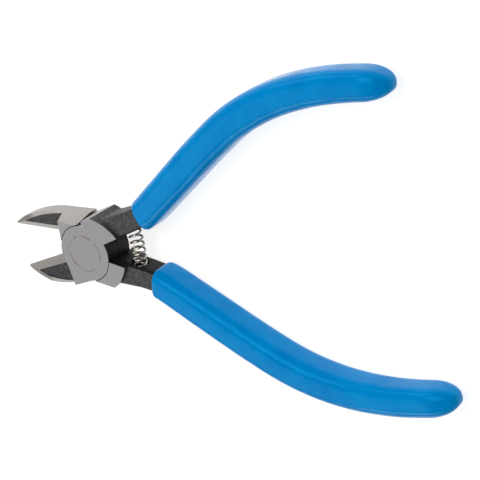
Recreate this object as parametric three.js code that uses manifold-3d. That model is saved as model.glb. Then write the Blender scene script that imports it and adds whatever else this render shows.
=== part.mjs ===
// Flush cutter: two forged steel halves lapped on one flush rivet, a coil spring between the tangs
// and a dip-moulded grip on each tang.
// Millimetres, +Z up. The origin is on the pivot axis, at the joint's lower face, and the jaws point
// to -X. Each half is drawn closed, with its jaw below the X axis and its tang above it, and its
// group opens it by OPEN degrees. The second half is the mirror image of the first, with the lap on
// the other side of the middle plane.
import * as THREE from "three";
import { mergeVertices } from "three/addons/utils/BufferGeometryUtils.js";
import Module from "manifold-3d";

const wasm = await Module();
wasm.setup();

// Driving dimensions, measured from the pivot with the tool closed.
const THICK = 8.8; // joint thickness
const LAP_R = 7.45; // radius of each lap
const LAP_GAP = 0.1; // from the middle plane to each lap
const RUN_GAP = 0.2; // from a lap's rim to the other half
const OPEN = 12; // each half's turn from closed to open
const EDGE_GAP = 0.06; // from the cutting edge to the X axis

const TIP = { x: -28, flat: 0.35, y: -0.6, lean: 0.45 }; // jaw tip, with a small slanted flat
const BACK = { r: 26, x: -9.9, y: 18.5, slope: -0.1 }; // jaw's back: an arc, then straight
const FLANK = { y: -7.25, slope: 5 }; // ground flank: its edge on the face, and its steepness
const FLUSH_X = -12; // the flush face rises from here towards the tip
const FLUSH_RISE = 0.131; // its rise per millimetre
const BEVEL_RISE = 0.95; // cutting bevel, rise per millimetre away from the edge
const RIM = { x: -20, z: 0.15, drop: 0.27 }; // height of the rim, which falls from x to the tip
const HOLLOW = { r: 35, x: -4.5, y: 27.15, tip: -25, edge: -0.5 }; // its outer arc, tip and inner edge
const FLOOR = { point: [-15, -2.2, -1.96], normal: [0.12, 0.45, 1] }; // floor of the hollow
const ROOT = { start: -14, end: -2.03, inner: [-1.9, -5] }; // full-thickness part behind the hollow
const FACE_X = -7.1; // left edge of the joint's face, on the X axis
const FACE_LEAN = 0.1; // how far that edge leans out per millimetre across
const WALL_LEAN = 0.35; // and how far the wall under it leans out per millimetre down
const THROAT = { x: -9.0, r: 1.1 };
const BLADE_END = -6; // the blade runs into the full-thickness part up to here

// The full-thickness patch on the tang side: its inner edge and corner, its wall at the stop slot,
// which leans so that the slot is wider on the lap's side, and its outer edge, which is ground lower
// on the rear half. The round end runs from one circle on the lap's side to another on the far side.
const PATCH = { under: [1.2, 4], inner: [7.3, 0.85], corner: [12.8, 1.4], high: 8.6 };
const SLOT = { x: 3.2, lean: 0.1 };
const PATCH_EDGE = { front: { y: 7.85, slope: 0.05 }, rear: { y: 7.03, slope: 0.078 } };
const PATCH_END = { lap: { x: 0.15, y: -3.1, r: 12.85 }, far: { x: 1.25, y: -0.9, r: 11.35 } };

const RIVET = { face: 4.9, shank: 2.9, cone: 1.9, gap: 0.07 };
// The handle's middle line, as arcs laid end to end: each one's length and turn in degrees.
const LINE_START = { x: 7.6, y: 3.95, heading: 0 };
const LINE = [
  { length: 10.5, turn: 3.6 },
  { length: 6, turn: 19.5 },
  { length: 17.5, turn: 0 },
  { length: 14, turn: -2.8 },
  { length: 22, turn: -21.4 },
  { length: 14.5, turn: -11.6 },
  { length: 12.9, turn: -6.3 },
];
const TANG = { wide: 5.4, thick: 6.8, low: 0.4, root: 7.9, rootLength: 10, corner: 0.9, short: 6 };
const ROOT_WIDER = 0.9; // how much wider the tang is at its root
const GRIP_START = { front: 13.3, rear: 12.6 }; // where each dip ends, along the middle line
const MOUTH_SLANT = 0.5; // how much later it ends on the outer side, and earlier on the inner side
const GRIP = { belly: 46, wide: 8.45, narrow: 0.00056, thick: 9.8, thin: 8.9, corner: 2.9 };
const LIP = { length: 1.3, depth: 1.1, power: 2 };
const CAP = { length: 7, depth: 3.1, power: 1.85 };
const GRIP_FIT = 0.3; // from the tang to the inside of the grip

const SEAT = { front: 14.8, rear: 14.0, floor: 3.0, r: 2.35 }; // how far out each spring seat is
// The spring's wire, coil radius and turns, its closed turns' pitch, how far its middle line stays off
// each seat's floor, and how far that line is pulled straight out.
const SPRING = { wire: 0.56, r: 1.58, turns: 8, end: 0.7, off: 0.35, pull: 4 };

const materials = {
  forging: new THREE.MeshStandardMaterial({ color: 0x9a9a9c, roughness: 0.42, metalness: 1 }),
  rivet: new THREE.MeshStandardMaterial({ color: 0xa4a4a6, roughness: 0.36, metalness: 1 }),
  spring: new THREE.MeshStandardMaterial({ color: 0xb9b4ab, roughness: 0.22, metalness: 1 }),
  vinyl: new THREE.MeshStandardMaterial({ color: 0x0083cf, roughness: 0.3, metalness: 0 }),
};

// A three.js geometry as a closed solid, and back.
function solid(geometry) {
  const bare = geometry.index ? geometry.toNonIndexed() : geometry.clone();
  bare.deleteAttribute("normal");
  bare.deleteAttribute("uv");
  const merged = mergeVertices(bare, 1e-5);
  const corners = Array.from(merged.index.array);
  const triVerts = [];
  for (let i = 0; i < corners.length; i += 3) {
    const [a, b, c] = corners.slice(i, i + 3);
    if (a !== b && b !== c && c !== a) triVerts.push(a, b, c);
  }
  return new wasm.Manifold(
    new wasm.Mesh({
      numProp: 3,
      vertProperties: merged.attributes.position.array,
      triVerts: new Uint32Array(triVerts),
    }),
  );
}

function meshOf(name, body, material) {
  const { vertProperties, triVerts, numProp } = body.getMesh();
  const position = new THREE.InterleavedBufferAttribute(
    new THREE.InterleavedBuffer(vertProperties, numProp),
    3,
    0,
  );
  const geometry = new THREE.BufferGeometry()
    .setAttribute("position", position)
    .setIndex(new THREE.BufferAttribute(triVerts, 1))
    .toNonIndexed();
  geometry.computeVertexNormals();
  const mesh = new THREE.Mesh(geometry, material);
  mesh.name = name;
  return mesh;
}

function prism(points, low, high) {
  const shape = new THREE.Shape(points.map(([x, y]) => new THREE.Vector2(x, y)));
  const geometry = new THREE.ExtrudeGeometry(shape, { depth: high - low, bevelEnabled: false });
  return solid(geometry.translate(0, 0, low));
}

function cylinder(radius, low, high, sides = 64) {
  const geometry = new THREE.CylinderGeometry(radius, radius, high - low, sides);
  return solid(geometry.rotateX(Math.PI / 2).translate(0, 0, (low + high) / 2));
}

// Everything on the side of a plane that its normal points to.
function beyond(point, normal) {
  const size = 120;
  const turn = new THREE.Quaternion().setFromUnitVectors(
    new THREE.Vector3(0, 0, 1),
    new THREE.Vector3(...normal).normalize(),
  );
  const box = new THREE.BoxGeometry(size, size, size).translate(0, 0, size / 2);
  return solid(box.applyQuaternion(turn).translate(...point));
}

// Points on the lower side of a circle, which runs on straight once it has the given slope.
function arcBelow({ x: centre, y, r, slope = Infinity }, from, to, steps = 16) {
  const join = centre + r * Math.sin(Math.atan(slope));
  const end = slope === Infinity ? to : join;
  return Array.from({ length: steps + 1 }, (_, i) => {
    const x = from + ((to - from) * i) / steps;
    const bend = Math.min(x, end);
    const arc = y - Math.sqrt(r ** 2 - (bend - centre) ** 2);
    return [x, x > bend ? arc + slope * (x - bend) : arc];
  });
}

// The thin part of the jaw: flush face below, cutting bevel, hollow and rim above.
function blade() {
  const low = -THICK / 2;
  const plan = prism([[BLADE_END, -EDGE_GAP], ...arcBelow(BACK, TIP.x, BLADE_END)], low, THICK / 2);
  const flush = beyond([FLUSH_X, 0, low], [-FLUSH_RISE, 0, -1]);
  const bevel = beyond([FLUSH_X, -EDGE_GAP, low], [FLUSH_RISE, BEVEL_RISE, 1]);
  const top = beyond([0, 0, RIM.z], [0, 0, 1]);
  const rim = beyond([RIM.x, 0, RIM.z], [-RIM.drop, 0, 1]);
  const hollow = prism(
    [
      [BLADE_END, HOLLOW.edge],
      [HOLLOW.tip, HOLLOW.edge],
      ...arcBelow(HOLLOW, HOLLOW.tip, BLADE_END),
    ],
    low,
    THICK,
  );
  return plan
    .subtract(flush)
    .subtract(bevel)
    .subtract(top)
    .subtract(rim)
    .subtract(hollow.intersect(beyond(FLOOR.point, FLOOR.normal)))
    .subtract(beyond([TIP.x + TIP.flat, TIP.y, 0], [-1, TIP.lean, 0]));
}

// The full-thickness part between the jaw and the lap, with the stop shoulder.
function jawRoot() {
  const plan = prism(
    [[0, -EDGE_GAP], [ROOT.start, -EDGE_GAP], ...arcBelow(BACK, ROOT.start, ROOT.end), ROOT.inner],
    -THICK / 2,
    THICK / 2,
  );
  const wall = beyond([FACE_X, 0, THICK / 2], [-1, FACE_LEAN, WALL_LEAN]);
  return plan.subtract(wall);
}

// A drum of the joint's thickness, from a circle on its top to another on its bottom.
function slantedDrum(top, bottom, sides = 96) {
  const slant = new THREE.Matrix4().makeShear(
    0,
    0,
    0,
    0,
    (top.x - bottom.x) / THICK,
    (top.y - bottom.y) / THICK,
  );
  const geometry = new THREE.CylinderGeometry(top.r, bottom.r, THICK, sides)
    .rotateX(Math.PI / 2)
    .applyMatrix4(slant)
    .translate((top.x + bottom.x) / 2, (top.y + bottom.y) / 2, 0);
  return solid(geometry);
}

// The full-thickness patch on the tang side, behind the stop slot.
function tangRoot(side) {
  const { under, inner, corner, high } = PATCH;
  const edge = side > 0 ? PATCH_EDGE.front : PATCH_EDGE.rear;
  const { lap, far } = PATCH_END;
  const plan = [under, inner, corner, [corner[0], high], [under[0], high]];
  return prism(plan, -THICK / 2, THICK / 2)
    .intersect(side > 0 ? slantedDrum(lap, far) : slantedDrum(far, lap))
    .subtract(beyond([0, edge.y, 0], [-edge.slope, 1, 0]))
    .subtract(beyond([SLOT.x, 0, (side * THICK) / 2], [-1, 0, side * SLOT.lean]));
}

const LINE_LENGTH = LINE.reduce((sum, arc) => sum + arc.length, 0);

// Place and heading on the handle's middle line, by distance along it.
function lineAt(distance) {
  let { x, y, heading } = LINE_START;
  let left = distance;
  for (const arc of LINE) {
    const part = Math.min(left, arc.length);
    const turn = (arc.turn * part) / arc.length;
    const middle = THREE.MathUtils.degToRad(heading + turn / 2);
    x += part * Math.cos(middle);
    y += part * Math.sin(middle);
    heading += turn;
    left -= part;
    if (left <= 0) break;
  }
  return { x, y, heading: THREE.MathUtils.degToRad(heading) };
}

// A bar along the handle's middle line. size gives its width and thickness by the distance, and slant
// moves the outer side of its first end along and the inner side back.
function bar(from, to, corner, steps, size, slant = 0) {
  const section = new THREE.Shape();
  const r = corner;
  section.moveTo(1 - r, -1).absarc(1 - r, r - 1, r, -Math.PI / 2, 0);
  section.absarc(1 - r, 1 - r, r, 0, Math.PI / 2).absarc(r - 1, 1 - r, r, Math.PI / 2, Math.PI);
  section.absarc(r - 1, r - 1, r, Math.PI, Math.PI * 1.5);
  const geometry = new THREE.ExtrudeGeometry(section, {
    depth: 1,
    steps,
    curveSegments: 3,
    bevelEnabled: false,
  });
  const point = geometry.attributes.position;
  for (let i = 0; i < point.count; i++) {
    const share = (1 - Math.cos(Math.PI * point.getZ(i))) / 2;
    const distance = from + (to - from) * share;
    const place = lineAt(distance + slant * (1 - share) * point.getX(i));
    const [wide, thick] = size(distance);
    const out = (point.getX(i) * wide) / 2;
    point.setXYZ(
      i,
      place.x - Math.sin(place.heading) * out,
      place.y + Math.cos(place.heading) * out,
      (point.getY(i) * thick) / 2,
    );
  }
  return solid(geometry);
}

// How much a rounded end takes off each side, at a distance from the end.
function roundOff(distance, end) {
  const short = Math.min(1, Math.max(0, 1 - distance / end.length));
  return end.depth * (1 - Math.sqrt(1 - short ** end.power));
}

function tang(grow = 0) {
  const { wide, thick, root, rootLength, corner, short, low } = TANG;
  const size = (distance) => {
    const share = Math.max(0, 1 - distance / rootLength);
    return [wide + ROOT_WIDER * share + 2 * grow, thick + (root - thick) * share + 2 * grow];
  };
  return bar(-grow, LINE_LENGTH - short + grow, (2 * corner) / wide, 20, size)
    .translate([0, 0, -low]);
}

function rivetProfile(gap, reach) {
  const { face, shank, cone } = RIVET;
  const top = THICK / 2;
  const slope = (face - shank) / cone;
  return [
    [0, -top - reach],
    [face + gap + reach * slope, -top - reach],
    [shank + gap, -top + cone],
    [shank + gap, top - cone],
    [face + gap + reach * slope, top + reach],
    [0, top + reach],
  ].map(([x, y]) => new THREE.Vector2(x, y));
}

const turned = (profile, sides) => solid(new THREE.LatheGeometry(profile, sides).rotateX(Math.PI / 2));

// One half. side is 1 with the lap above the middle plane and -1 with the lap below it.
function half(side) {
  const top = THICK / 2;
  const [low, high] = side > 0 ? [LAP_GAP, top] : [-top, -LAP_GAP];
  const lap = cylinder(LAP_R, low, high);
  const room = side > 0
    ? cylinder(LAP_R + RUN_GAP, -top - 1, LAP_GAP)
    : cylinder(LAP_R + RUN_GAP, -LAP_GAP, top + 1);
  const throat = cylinder(THROAT.r, -top - 1, top + 1, 32).translate([THROAT.x, 0, 0]);
  const seat = solid(
    new THREE.CylinderGeometry(SEAT.r, SEAT.r, SEAT.floor, 32)
      .translate(side > 0 ? SEAT.front : SEAT.rear, SEAT.floor / 2, 0),
  );
  const flank = beyond([0, FLANK.y, top], [0, -FLANK.slope, 1]);
  return blade()
    .add(jawRoot())
    .subtract(flank)
    .subtract(throat)
    .add(tangRoot(side))
    .add(tang())
    .subtract(room)
    .add(lap)
    .subtract(turned(rivetProfile(RIVET.gap, 0.5), 48))
    .subtract(seat);
}

function grip(start) {
  const { belly, narrow, thick, thin, corner } = GRIP;
  const size = (distance) => {
    const share = (distance - start) / (LINE_LENGTH - start);
    const full = thick + (thin - thick) * share;
    const wide = GRIP.wide - narrow * (distance - belly) ** 2;
    const lip = roundOff(distance - start, LIP);
    const cap = roundOff(LINE_LENGTH - distance, CAP) / wide;
    return [wide * (1 - 2 * cap) - 2 * lip, full * (1 - 2 * cap) - 2 * lip];
  };
  return bar(start, LINE_LENGTH, (2 * corner) / GRIP.wide, 30, size, MOUTH_SLANT)
    .subtract(tang(GRIP_FIT));
}

// The spring's middle line: straight out of each seat, so it bows away from the pivot.
class SpringLine extends THREE.Curve {
  constructor() {
    super();
    const turn = THREE.MathUtils.degToRad(OPEN);
    const axis = new THREE.Vector3(0, 0, 1);
    const above = SEAT.floor - SPRING.off;
    const inFront = (y) => new THREE.Vector3(SEAT.front, y, 0).applyAxisAngle(axis, turn);
    const inRear = (y) => new THREE.Vector3(SEAT.rear, -y, 0).applyAxisAngle(axis, -turn);
    this.spine = new THREE.CubicBezierCurve3(
      inRear(above),
      inRear(above - SPRING.pull),
      inFront(above - SPRING.pull),
      inFront(above),
    );
  }
  getPoint(t, target = new THREE.Vector3()) {
    const { turns, end, r } = SPRING;
    const length = this.spine.getLength();
    const round = t * turns;
    const pitch = (length - 2 * end) / (turns - 2);
    const along = round < 1
      ? round * end
      : round > turns - 1
        ? length - (turns - round) * end
        : end + (round - 1) * pitch;
    const share = along / length;
    const centre = this.spine.getPointAt(share);
    const way = this.spine.getTangentAt(share);
    const side = new THREE.Vector3(way.y, -way.x, 0);
    const angle = 2 * Math.PI * round;
    return target
      .copy(centre)
      .addScaledVector(side, r * Math.sin(angle))
      .add(new THREE.Vector3(0, 0, r * Math.cos(angle)));
  }
}

function spring() {
  const section = new THREE.Shape();
  section.absarc(0, 0, SPRING.wire / 2, 0, 2 * Math.PI);
  const geometry = new THREE.ExtrudeGeometry(section, {
    steps: 112,
    curveSegments: 4,
    extrudePath: new SpringLine(),
    bevelEnabled: false,
  });
  return solid(geometry);
}

const front = new THREE.Group();
front.rotation.z = THREE.MathUtils.degToRad(OPEN);
front.add(meshOf("front_half", half(1), materials.forging));
front.add(meshOf("front_grip", grip(GRIP_START.front), materials.vinyl));

const rear = new THREE.Group();
rear.rotation.z = -THREE.MathUtils.degToRad(OPEN);
rear.add(meshOf("rear_half", half(-1).mirror([0, 1, 0]), materials.forging));
rear.add(meshOf("rear_grip", grip(GRIP_START.rear).mirror([0, 1, 0]), materials.vinyl));

const cutter = new THREE.Group();
cutter.position.z = THICK / 2;
cutter.add(front, rear);
cutter.add(meshOf("pivot_rivet", turned(rivetProfile(0, 0), 48), materials.rivet));
cutter.add(meshOf("return_spring", spring(), materials.spring));

export default cutter;
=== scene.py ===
"""Flush cutter: ground and blackened steel halves, a flush rivet, a bright coil spring and
glossy dipped grips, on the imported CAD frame. The second half mirrors the first across the X axis.
Metres in the scene; the sizes below are millimetres, turned into metres by MM."""

import math

import bmesh
import bpy
from mathutils import Matrix, Vector


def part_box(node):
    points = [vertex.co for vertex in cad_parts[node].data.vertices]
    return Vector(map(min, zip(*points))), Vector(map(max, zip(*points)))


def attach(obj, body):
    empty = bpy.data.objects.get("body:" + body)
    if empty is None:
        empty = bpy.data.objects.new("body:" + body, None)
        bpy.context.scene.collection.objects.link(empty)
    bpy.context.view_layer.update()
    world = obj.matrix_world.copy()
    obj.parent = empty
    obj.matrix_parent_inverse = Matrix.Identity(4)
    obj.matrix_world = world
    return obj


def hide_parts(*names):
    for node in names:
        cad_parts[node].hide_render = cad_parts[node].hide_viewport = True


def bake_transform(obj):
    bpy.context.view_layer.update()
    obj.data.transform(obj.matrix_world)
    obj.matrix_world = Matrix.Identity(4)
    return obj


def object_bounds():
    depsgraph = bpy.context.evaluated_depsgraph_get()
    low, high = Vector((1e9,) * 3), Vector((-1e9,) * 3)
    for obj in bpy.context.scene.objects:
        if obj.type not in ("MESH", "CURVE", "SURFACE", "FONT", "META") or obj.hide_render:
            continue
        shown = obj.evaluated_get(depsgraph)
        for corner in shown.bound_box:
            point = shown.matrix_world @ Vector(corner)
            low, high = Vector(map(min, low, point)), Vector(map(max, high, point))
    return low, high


MM = 0.001  # metres in a millimetre

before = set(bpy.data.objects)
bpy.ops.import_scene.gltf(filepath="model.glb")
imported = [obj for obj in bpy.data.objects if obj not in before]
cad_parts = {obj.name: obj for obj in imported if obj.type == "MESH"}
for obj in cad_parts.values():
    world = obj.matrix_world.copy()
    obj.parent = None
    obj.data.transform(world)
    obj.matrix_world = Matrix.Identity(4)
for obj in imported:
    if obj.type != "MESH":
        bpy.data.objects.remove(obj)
cad_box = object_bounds()
rivet_low, rivet_high = (Vector(corner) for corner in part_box("pivot_rivet"))
TOP = rivet_high.z
BOTTOM = rivet_low.z
MIDDLE = (TOP + BOTTOM) / 2

# Driving dimensions, as in the CAD, drawn with the tool closed.
OPEN = math.radians(12)
# The handle's middle line: where it starts and its heading, then each arc's length and turn.
LINE_START = (7.6, 3.95, 0)
LINE = [(10.5, 3.6), (6, 19.5), (17.5, 0), (14, -2.8), (22, -21.4), (14.5, -11.6), (12.9, -6.3)]
LINE_LENGTH = sum(length for length, _ in LINE)
GRIP_START = {"front": 13.3, "rear": 12.6}
MOUTH_SLANT = 0.5  # each dip ends this much later on its outer side and earlier on its inner side
GRIP = {"belly": 46, "wide": 8.45, "narrow": 0.00056, "thick": 9.8, "thin": 8.9, "corner": 2.9}
LIP = {"length": 1.3, "depth": 1.1, "power": 2}
CAP = {"length": 7, "depth": 3.1, "power": 1.85}
# Each grip's bore stops after its depth, and the tang runs on inside the vinyl.
BORE = {"wide": 5.9, "thick": 7.3, "corner": 1.2, "low": 0.4, "depth": 9}
BORE_RINGS = (BORE["depth"], 4, 1.0, 0.45)  # how deep each of the bore's rings is
SEAT = {"front": 14.8, "rear": 14.0, "floor": 3.0}
SPRING = {"wire": 0.56, "r": 1.58, "turns": 8, "end": 0.7, "off": 0.35, "pull": 4}
RIVET = {"face": 4.9, "shank": 2.9, "cone": 1.9}
RIVET_FIT = 0.05  # how much wider the rivet's heads are than in the CAD, to close the gap round them
RIVET_ROUND = 0.03
EDGE_ROUND = 0.2
SMOOTH_BELOW = math.radians(28)  # a steel edge that turns by less than this is shaded smooth
FLAT_BELOW = math.radians(0.6)  # and faces that turn by less than this are one face
SIDES = {"front": 1, "rear": -1}


def placed(side):
    """From a half's drawn frame to the row frame: mirrored for the rear half, opened, raised."""
    mirror = Matrix.Diagonal((1, side, 1, 1))
    return Matrix.Translation((0, 0, MIDDLE)) @ Matrix.Rotation(side * OPEN, 4, "Z") @ mirror


# Materials

BLACK = (0, 0, 0)
WHITE = (1, 1, 1)


def nodes_of(name, **values):
    material = bpy.data.materials.new(name)
    material.use_nodes = True
    tree = material.node_tree
    shader = tree.nodes["Principled BSDF"]
    for socket, value in values.items():
        shader.inputs[socket.replace("_", " ")].default_value = value
    return material, tree, shader


def link(tree, source, target):
    tree.links.new(source, target)


def coords(tree, scale=(1, 1, 1)):
    """Object coordinates in millimetres, stretched by scale."""
    place = tree.nodes.new("ShaderNodeTexCoord")
    mapping = tree.nodes.new("ShaderNodeMapping")
    mapping.inputs["Scale"].default_value = [1000 * s for s in scale]
    link(tree, place.outputs["Object"], mapping.inputs["Vector"])
    return mapping.outputs["Vector"]


def noise(tree, scale, stretch=(1, 1, 1), detail=3, roughness=0.5):
    texture = tree.nodes.new("ShaderNodeTexNoise")
    texture.inputs["Scale"].default_value = scale
    texture.inputs["Detail"].default_value = detail
    texture.inputs["Roughness"].default_value = roughness
    link(tree, coords(tree, stretch), texture.inputs["Vector"])
    return texture.outputs["Fac"]


def ramp(tree, factor, stops):
    """A colour ramp through (place, colour) stops."""
    node = tree.nodes.new("ShaderNodeValToRGB")
    elements = node.color_ramp.elements
    while len(elements) < len(stops):
        elements.new(0.5)
    for element, (place, colour) in zip(elements, stops):
        element.position = place
        element.color = (*colour, 1)
    link(tree, factor, node.inputs["Fac"])
    return node.outputs["Color"]


def spread(tree, factor, low, high):
    """A value from low to high as factor goes from 0.3 to 0.7."""
    node = tree.nodes.new("ShaderNodeMapRange")
    node.inputs["From Min"].default_value = 0.3
    node.inputs["From Max"].default_value = 0.7
    node.inputs["To Min"].default_value = low
    node.inputs["To Max"].default_value = high
    link(tree, factor, node.inputs["Value"])
    return node.outputs["Result"]


def blend_colours(tree, factor, first, second):
    node = tree.nodes.new("ShaderNodeMix")
    node.data_type = "RGBA"
    link(tree, factor, node.inputs[0])
    for value, socket in ((first, node.inputs[6]), (second, node.inputs[7])):
        if isinstance(value, tuple):
            socket.default_value = (*value, 1)
        else:
            link(tree, value, socket)
    return node.outputs[2]


def bump(tree, shader, height, strength, distance, before=None):
    node = tree.nodes.new("ShaderNodeBump")
    node.inputs["Strength"].default_value = strength
    node.inputs["Distance"].default_value = distance * MM
    link(tree, height, node.inputs["Height"])
    if before is not None:
        link(tree, before, node.inputs["Normal"])
    link(tree, node.outputs["Normal"], shader.inputs["Normal"])
    return node.outputs["Normal"]


def ground_steel(name, pale, dull, stain):
    """Surface-ground steel: fine parallel lines, cloudy tone and faint heat stains."""
    material, tree, shader = nodes_of(name, Metallic=1.0)
    cloud = noise(tree, 2.4, detail=4, roughness=0.75)
    tone = ramp(tree, cloud, [(0.34, dull), (0.66, pale)])
    stains = ramp(tree, noise(tree, 0.35, detail=4, roughness=0.7), [(0.6, BLACK), (0.78, WHITE)])
    link(tree, blend_colours(tree, stains, tone, stain), shader.inputs["Base Color"])
    lines = noise(tree, 1.0, stretch=(1.2, 22, 5), detail=2)
    link(tree, spread(tree, lines, 0.36, 0.52), shader.inputs["Roughness"])
    fine = bump(tree, shader, lines, 0.4, 0.03)
    bump(tree, shader, noise(tree, 5, detail=3), 0.15, 0.03, before=fine)
    return material


def black_oxide(name, dark, worn):
    """Forged skin under black oxide: dark, pitted, greyer on the high spots, with pale flecks."""
    material, tree, shader = nodes_of(name, Metallic=0.75)
    skin = noise(tree, 2.2, detail=6, roughness=0.7)
    tone = ramp(tree, skin, [(0.38, dark), (0.66, worn)])
    flecks = ramp(tree, noise(tree, 4.5, detail=3, roughness=0.6), [(0.66, BLACK), (0.72, WHITE)])
    fleck = tuple(min(1, 2.6 * part) for part in worn)
    link(tree, blend_colours(tree, flecks, tone, fleck), shader.inputs["Base Color"])
    link(tree, spread(tree, skin, 0.42, 0.62), shader.inputs["Roughness"])
    rough = bump(tree, shader, skin, 0.5, 0.12)
    bump(tree, shader, noise(tree, 9, detail=2), 0.35, 0.05, before=rough)
    return material


def vinyl():
    """Dipped vinyl: a glossy skin with the slow ripple of the dip."""
    material, tree, shader = nodes_of("blue_vinyl", Metallic=0.0, IOR=1.4, Specular_IOR_Level=0.3)
    shader.inputs["Specular Tint"].default_value = (0.03, 0.7, 1.0, 1.0)
    shade = noise(tree, 0.12, detail=3)
    link(tree, ramp(tree, shade, [(0.35, (0.0, 0.20, 0.53)), (0.65, (0.0, 0.235, 0.58))]),
         shader.inputs["Base Color"])
    link(tree, spread(tree, noise(tree, 1.5, detail=4), 0.13, 0.19), shader.inputs["Roughness"])
    ripple = bump(tree, shader, noise(tree, 0.22, detail=1), 0.5, 0.5)
    bump(tree, shader, noise(tree, 2.5, detail=1), 0.04, 0.03, before=ripple)
    return material


def spring_wire():
    """Bright nickel wire with faint drawing lines."""
    material, tree, shader = nodes_of("nickel_wire", Metallic=1.0)
    grain = noise(tree, 3, detail=4)
    link(tree, ramp(tree, grain, [(0.35, (0.42, 0.385, 0.35)), (0.65, (0.52, 0.48, 0.44))]),
         shader.inputs["Base Color"])
    link(tree, spread(tree, grain, 0.16, 0.22), shader.inputs["Roughness"])
    bump(tree, shader, noise(tree, 12, detail=1), 0.15, 0.02)
    return material


def rivet_steel(rim):
    """Ground steel with a broken brown line round its rim, where it meets the lap."""
    material = ground_steel(
        "ground_rivet", (0.33, 0.325, 0.335), (0.25, 0.247, 0.255), (0.29, 0.25, 0.225)
    )
    tree = material.node_tree
    shader = tree.nodes["Principled BSDF"]
    tone = shader.inputs["Base Color"].links[0].from_socket
    flat = tree.nodes.new("ShaderNodeVectorMath")
    flat.operation = "MULTIPLY"
    flat.inputs[1].default_value = (1, 1, 0)
    link(tree, coords(tree), flat.inputs[0])
    radius = tree.nodes.new("ShaderNodeVectorMath")
    radius.operation = "LENGTH"
    link(tree, flat.outputs["Vector"], radius.inputs[0])
    near = tree.nodes.new("ShaderNodeMapRange")
    near.inputs["From Min"].default_value = rim - 0.6
    near.inputs["From Max"].default_value = rim - 0.15
    link(tree, radius.outputs["Value"], near.inputs["Value"])
    patch = ramp(tree, noise(tree, 0.45, detail=2), [(0.46, BLACK), (0.6, WHITE)])
    stain = tree.nodes.new("ShaderNodeMath")
    stain.operation = "MULTIPLY"
    link(tree, near.outputs["Result"], stain.inputs[0])
    link(tree, patch, stain.inputs[1])
    link(tree, blend_colours(tree, stain.outputs["Value"], tone, (0.20, 0.115, 0.08)),
         shader.inputs["Base Color"])
    return material


# Meshes


def new_piece(name, mesh, materials, body):
    piece = bpy.data.objects.new(name, mesh)
    bpy.context.scene.collection.objects.link(piece)
    for material in materials:
        mesh.materials.append(material)
    if body:
        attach(piece, body)
    return piece


def skin(rings):
    """A closed mesh through rings of points, with a cap on the first ring and on the last."""
    mesh = bpy.data.meshes.new("skin")
    form = bmesh.new()
    loops = [[form.verts.new(point) for point in ring] for ring in rings]
    for first, second in zip(loops, loops[1:]):
        count = len(first)
        for i in range(count):
            j = (i + 1) % count
            form.faces.new((first[i], first[j], second[j], second[i]))
    form.faces.new(loops[0][::-1])
    form.faces.new(loops[-1])
    bmesh.ops.recalc_face_normals(form, faces=form.faces)
    form.to_mesh(mesh)
    form.free()
    mesh.shade_smooth()
    return mesh


def line_at(distance):
    """Place and heading on the handle's middle line, by distance along it."""
    x, y, heading = LINE_START
    left = distance
    for length, turn in LINE:
        part = min(left, length)
        middle = math.radians(heading + turn * part / length / 2)
        x += part * math.cos(middle)
        y += part * math.sin(middle)
        heading += turn * part / length
        left -= part
        if left <= 0:
            break
    return x, y, math.radians(heading)


def rounded_section(wide, thick, corner, per_corner=10):
    """Points round a rectangle with round corners, centred on the origin."""
    points = []
    for quarter in range(4):
        sx = (1, -1, -1, 1)[quarter]
        sy = (1, 1, -1, -1)[quarter]
        for i in range(per_corner + 1):
            angle = math.pi / 2 * (quarter + i / per_corner)
            x = sx * (wide / 2 - corner) + corner * math.cos(angle)
            y = sy * (thick / 2 - corner) + corner * math.sin(angle)
            points.append((x, y))
    return points


def ring_on_line(distance, wide, thick, corner, low, place, slant=0):
    """A ring across the middle line. Slant moves its outer side along and its inner side back."""
    ring = []
    for out, up in rounded_section(wide, thick, corner):
        x, y, heading = line_at(distance + slant * 2 * out / wide)
        point = Vector((x - math.sin(heading) * out, y + math.cos(heading) * out, up - low))
        ring.append(place @ (point * MM))
    return ring


def round_off(distance, end):
    """How much a rounded end takes off each side, at a distance from the end."""
    short = min(1, max(0, 1 - distance / end["length"]))
    return end["depth"] * (1 - math.sqrt(1 - short ** end["power"]))


def grip_mesh(body, side):
    """The bore from its blind end to the mouth, the lip, and the outside to the round cap."""
    place = placed(side)
    start = GRIP_START[body]
    bore = (BORE["wide"], BORE["thick"], BORE["corner"], BORE["low"], place, MOUTH_SLANT)
    rings = [ring_on_line(start + depth, *bore) for depth in BORE_RINGS]
    steps = 150
    for i in range(steps + 1):
        share = (1 - math.cos(math.pi * i / steps)) / 2
        along = start + (LINE_LENGTH - start) * share
        wide = GRIP["wide"] - GRIP["narrow"] * (along - GRIP["belly"]) ** 2
        thick = GRIP["thick"] + (GRIP["thin"] - GRIP["thick"]) * share
        lip = round_off(along - start, LIP)
        left = 1 - 2 * round_off(LINE_LENGTH - along, CAP) / wide
        corner = max(0.4, GRIP["corner"] * left - 0.75 * lip)
        wide_here = wide * left - 2 * lip
        thick_here = thick * left - 2 * lip
        slant = MOUTH_SLANT * (1 - share)
        rings.append(ring_on_line(along, wide_here, thick_here, corner, 0, place, slant))
    return skin(rings)


def seat_point(side, y):
    """A point over a half's spring seat, y being its height in the half's drawn frame."""
    x = SEAT["front"] if side > 0 else SEAT["rear"]
    return Matrix.Rotation(side * OPEN, 3, "Z") @ Vector((x, side * y, 0))


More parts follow.
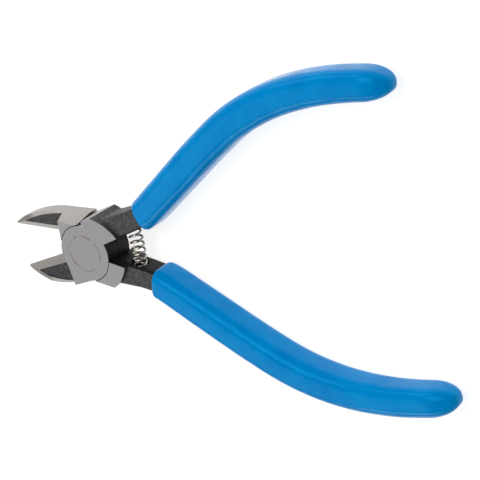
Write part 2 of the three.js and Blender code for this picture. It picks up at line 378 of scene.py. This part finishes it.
def coil_mesh():
    """The coil, on a line that leaves each seat square to its floor."""
    above = SEAT["floor"] - SPRING["off"]
    ends = [seat_point(-1, above), seat_point(-1, above - SPRING["pull"]),
            seat_point(1, above - SPRING["pull"]), seat_point(1, above)]

    def spine(t):
        weights = ((1 - t) ** 3, 3 * t * (1 - t) ** 2, 3 * t * t * (1 - t), t**3)
        slopes = (-3 * (1 - t) ** 2, 3 * (1 - t) * (1 - 3 * t), 3 * t * (2 - 3 * t), 3 * t * t)
        point = sum((w * p for w, p in zip(weights, ends)), Vector())
        slope = sum((w * p for w, p in zip(slopes, ends)), Vector())
        return point, slope.normalized()

    measures = 200
    samples = [spine(i / measures)[0] for i in range(measures + 1)]
    length = sum((b - a).length for a, b in zip(samples, samples[1:]))
    turns = SPRING["turns"]
    pitch = (length - 2 * SPRING["end"]) / (turns - 2)

    def centre(round_):
        if round_ < 1:
            along = round_ * SPRING["end"]
        elif round_ > turns - 1:
            along = length - (turns - round_) * SPRING["end"]
        else:
            along = SPRING["end"] + (round_ - 1) * pitch
        point, way = spine(along / length)
        side = Vector((way.y, -way.x, 0))
        angle = 2 * math.pi * round_
        return point + SPRING["r"] * (math.sin(angle) * side + math.cos(angle) * Vector((0, 0, 1)))

    steps = turns * 40
    sides = 12
    middle = [centre(turns * i / steps) for i in range(steps + 1)]
    rings = []
    for i, point in enumerate(middle):
        way = (middle[min(i + 1, steps)] - middle[max(i - 1, 0)]).normalized()
        out = way.orthogonal().normalized() if not rings else (out - way * out.dot(way)).normalized()
        across = way.cross(out)
        ring = []
        for k in range(sides):
            angle = 2 * math.pi * k / sides
            offset = SPRING["wire"] / 2 * (math.cos(angle) * out + math.sin(angle) * across)
            ring.append((point + offset) * MM + Vector((0, 0, MIDDLE)))
        rings.append(ring)
    return skin(rings)


def rivet_mesh():
    """A double countersunk rivet, ground flush, with a fine round at each rim."""
    face = (RIVET["face"] + RIVET_FIT) * MM
    shank = RIVET["shank"] * MM
    cone = RIVET["cone"] * MM
    edge = RIVET_ROUND * MM
    sides = 128
    half = [
        (face * 0.5, TOP),
        (face - 3 * edge, TOP),
        (face - edge, TOP),
        (face - edge * 0.3, TOP - edge * 0.3),
        (face, TOP - edge),
        (shank, TOP - cone),
    ]
    profile = half + [(r, BOTTOM + TOP - z) for r, z in reversed(half)]
    rings = []
    for radius, height in profile:
        turn = [2 * math.pi * k / sides for k in range(sides)]
        rings.append([Vector((radius * math.cos(a), radius * math.sin(a), height)) for a in turn])
    mesh = skin(rings)
    mesh.set_sharp_from_angle(angle=math.radians(35))
    return mesh


# The fifth finish is bright steel painted as a highlight on the bevelled edges.
# The fourth finish is the oxide painted much darker, as shade between the parts.
GROUND, WALL, OXIDE, PAINTED_SHADE, EDGE_HIGHLIGHT = range(5)


def finish_of(point, normal):
    """Which finish a face of a half has, by its middle and normal in the half's drawn frame."""
    half_thick = (TOP - BOTTOM) / 2 / MM
    if abs(normal.z) > 0.98 and abs(point.z) > half_thick - 0.1:
        return GROUND
    outer_wall = 2 < point.x < 7.2 and normal.y > 0.9 and point.y > 6
    if outer_wall:
        return WALL
    if point.x > -1.5:
        # Faces turned to the other tang, and the lap's side walls, get the darker oxide: painted
        # shade where the handles shade each other.
        shaded_inner_side = normal.y < -0.5
        shaded_rim_wall = abs(normal.z) < 0.3 and normal.y < 0.5 and point.x < 8.5
        return PAINTED_SHADE if shaded_inner_side or shaded_rim_wall else OXIDE
    if normal.z < -0.9:
        return GROUND
    pocket_floor = 0.85 < normal.z < 0.935 and point.x < -8
    pocket_wall = abs(normal.z) < 0.1 and normal.y > 0.3 and point.x < -8
    step_wall = normal.x < -0.8
    if pocket_floor or pocket_wall or step_wall:
        return OXIDE
    bevel = 0.6 < normal.y < 0.8 and normal.z > 0.5
    return WALL if bevel or normal.y < -0.3 or normal.z > 0.9 else GROUND


def half_mesh(node, side):
    """The CAD half with its flat faces joined into whole ones and each given its finish."""
    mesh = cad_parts[node].data.copy()
    mesh.materials.clear()
    form = bmesh.new()
    form.from_mesh(mesh)
    bmesh.ops.remove_doubles(form, verts=form.verts, dist=0.002 * MM)
    bmesh.ops.dissolve_limit(form, angle_limit=FLAT_BELOW, verts=form.verts, edges=form.edges)
    bmesh.ops.recalc_face_normals(form, faces=form.faces)
    back = placed(side).inverted()
    for face in form.faces:
        point = back @ face.calc_center_median() / MM
        face.material_index = finish_of(point, back.to_3x3() @ face.normal)
        face.smooth = True
    form.to_mesh(mesh)
    form.free()
    mesh.set_sharp_from_angle(angle=SMOOTH_BELOW)
    return mesh


def soften_edges(piece, width):
    bevel = piece.modifiers.new("edges", "BEVEL")
    bevel.width = width * MM
    bevel.segments = 3
    bevel.limit_method = "ANGLE"
    bevel.angle_limit = SMOOTH_BELOW
    bevel.harden_normals = True
    bevel.use_clamp_overlap = True
    # The bevel faces take the bright edge steel, a painted highlight along every edge.
    bevel.material = EDGE_HIGHLIGHT


def add_halves():
    finishes = [
        ground_steel("ground_face", (0.33, 0.325, 0.335), (0.25, 0.247, 0.255), (0.30, 0.26, 0.235)),
        ground_steel("ground_flank", (0.47, 0.44, 0.415), (0.36, 0.337, 0.315), (0.36, 0.30, 0.26)),
        black_oxide("black_oxide", (0.024, 0.023, 0.025), (0.125, 0.122, 0.125)),
        # Painted shade: the same oxide much darker, for the faces between the tangs and round the
        # joint where shade falls.
        black_oxide("oxide_painted_shade", (0.005, 0.0045, 0.0045), (0.027, 0.024, 0.023)),
        # Painted highlight: bright steel for the bevel faces, so every edge shows a light line.
        ground_steel("painted_edge_highlight", (0.86, 0.84, 0.81), (0.6, 0.58, 0.56), (0.40, 0.36, 0.33)),
    ]
    for body, side in SIDES.items():
        node = body + "_half"
        piece = new_piece(node + "_ground", half_mesh(node, side), finishes, body)
        soften_edges(piece, EDGE_ROUND)
        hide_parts(node)


def add_grips():
    material = vinyl()
    for body, side in SIDES.items():
        node = body + "_grip"
        piece = new_piece(node + "_dipped", grip_mesh(body, side), [material], body)
        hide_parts(node)


def add_rivet():
    piece = new_piece("rivet_flush", rivet_mesh(), [rivet_steel(RIVET["face"])], "front")
    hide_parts("pivot_rivet")


def add_spring():
    piece = new_piece("spring_coil", coil_mesh(), [spring_wire()], None)
    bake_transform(piece)
    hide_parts("return_spring")


# Surroundings


def add_floor():
    mesh = bpy.data.meshes.new("floor")
    size = 3.0
    low = cad_box[0][2]
    corners = [(-size, -size, low), (size, -size, low), (size, size, low), (-size, size, low)]
    mesh.from_pydata(corners, [], [(0, 1, 2, 3)])
    floor = bpy.data.objects.new("floor", mesh)
    bpy.context.scene.collection.objects.link(floor)
    material, tree, shader = nodes_of("pale_floor", Roughness=0.9)
    tones = [(0.3, (0.34, 0.34, 0.34)), (0.7, (0.36, 0.36, 0.36))]
    link(tree, ramp(tree, noise(tree, 0.01), tones), shader.inputs["Base Color"])
    shader.inputs["Emission Color"].default_value = (1, 1, 1, 1)
    shader.inputs["Emission Strength"].default_value = 0.8
    mesh.materials.append(material)


def add_light(name, place, target, size, power):
    data = bpy.data.lights.new(name, "AREA")
    data.shape = "RECTANGLE"
    data.size, data.size_y = size
    data.energy = power
    lamp = bpy.data.objects.new(name, data)
    lamp.location = place
    lamp.rotation_euler = (Vector(place) - Vector(target)).to_track_quat("Z", "Y").to_euler()
    bpy.context.scene.collection.objects.link(lamp)


def add_lights():
    world = bpy.data.worlds.new("studio")
    world.use_nodes = True
    background = world.node_tree.nodes["Background"]
    background.inputs["Color"].default_value = (1, 1, 1, 1)
    background.inputs["Strength"].default_value = 0.25
    bpy.context.scene.world = world
    middle = ((cad_box[0][0] + cad_box[1][0]) / 2, 0, 0)
    add_light("key", (0.05, 0.45, 0.75), middle, (0.5, 0.5), 4.5)
    add_light("face", (-0.45, -0.25, 0.65), middle, (0.6, 0.6), 1.6)
    add_light("side", (-0.1, -0.6, 0.32), middle, (0.5, 0.2), 1.0)
    add_light("back", (-0.35, 0.65, 0.33), middle, (0.5, 0.25), 0.8)


# The camera's angles round AIM in degrees, its distance in metres and its lens in millimetres. AIM is
# in metres from the middle of the joint.
CAMERA = {"azimuth": 27.57, "elevation": 48.15, "roll": 125.3, "distance": 0.3637, "lens": 116.0}
AIM = Vector((0.04585, 0.00167, 0.00002))


def add_camera():
    azimuth, elevation, roll = (math.radians(CAMERA[key]) for key in ("azimuth", "elevation", "roll"))
    away = Vector((math.cos(elevation) * math.cos(azimuth), math.cos(elevation) * math.sin(azimuth),
                   math.sin(elevation)))
    data = bpy.data.cameras.new("camera")
    data.lens = CAMERA["lens"]
    data.sensor_width = 36
    data.clip_start = 0.01
    camera = bpy.data.objects.new("camera", data)
    camera.location = AIM + Vector((0, 0, MIDDLE)) + away * CAMERA["distance"]
    upright = away.to_track_quat("Z", "Y").to_matrix()
    camera.rotation_euler = (Matrix.Rotation(-roll, 3, away) @ upright).to_euler()
    bpy.context.scene.collection.objects.link(camera)
    bpy.context.scene.camera = camera


bpy.context.scene.view_settings.view_transform = "Standard"
add_camera()
add_halves()
add_grips()
add_rivet()
add_spring()
add_floor()
add_lights()
